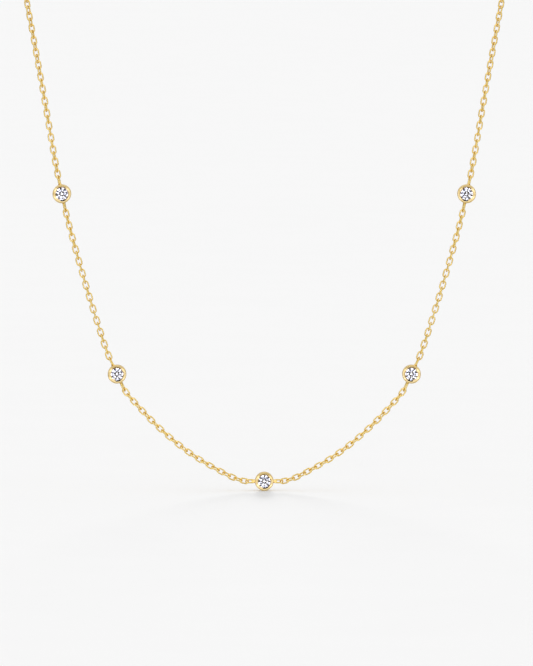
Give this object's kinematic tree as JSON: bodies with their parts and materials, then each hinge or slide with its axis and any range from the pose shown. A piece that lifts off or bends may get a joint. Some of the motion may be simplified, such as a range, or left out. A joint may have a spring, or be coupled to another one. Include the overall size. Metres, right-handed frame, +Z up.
{
  "type": "station necklace",
  "caption": "Fine oval cable chain necklace in yellow gold with round stones in smooth bezel settings spaced along its front, and a ring clasp at the nape.",
  "frame": {"origin": "middle of the neck opening, at the height where the chain crosses the nape, which is the mount neck", "axes": "+Z up, -Y to the front where the stones face, +X to the viewer's right"},
  "size_m": [0.1042, 0.0707, 0.123],
  "materials": {
    "gold": "polished yellow gold",
    "stone": "faceted white stone"
  },
  "bodies": {
    "root": {"bezel_1": "gold", "bezel_2": "gold", "bezel_3": "gold", "bezel_4": "gold", "bezel_5": "gold", "stone_1": "stone", "stone_2": "stone", "stone_3": "stone", "stone_4": "stone", "stone_5": "stone", "chain_low_left": "gold", "chain_low_right": "gold", "chain_side_left": "gold", "chain_side_right": "gold", "chain_upper_left": "gold", "chain_upper_right": "gold", "chain_back_left": "gold", "chain_back_right": "gold", "clasp": "gold", "end_ring": "gold"}
  },
  "joints": []
}
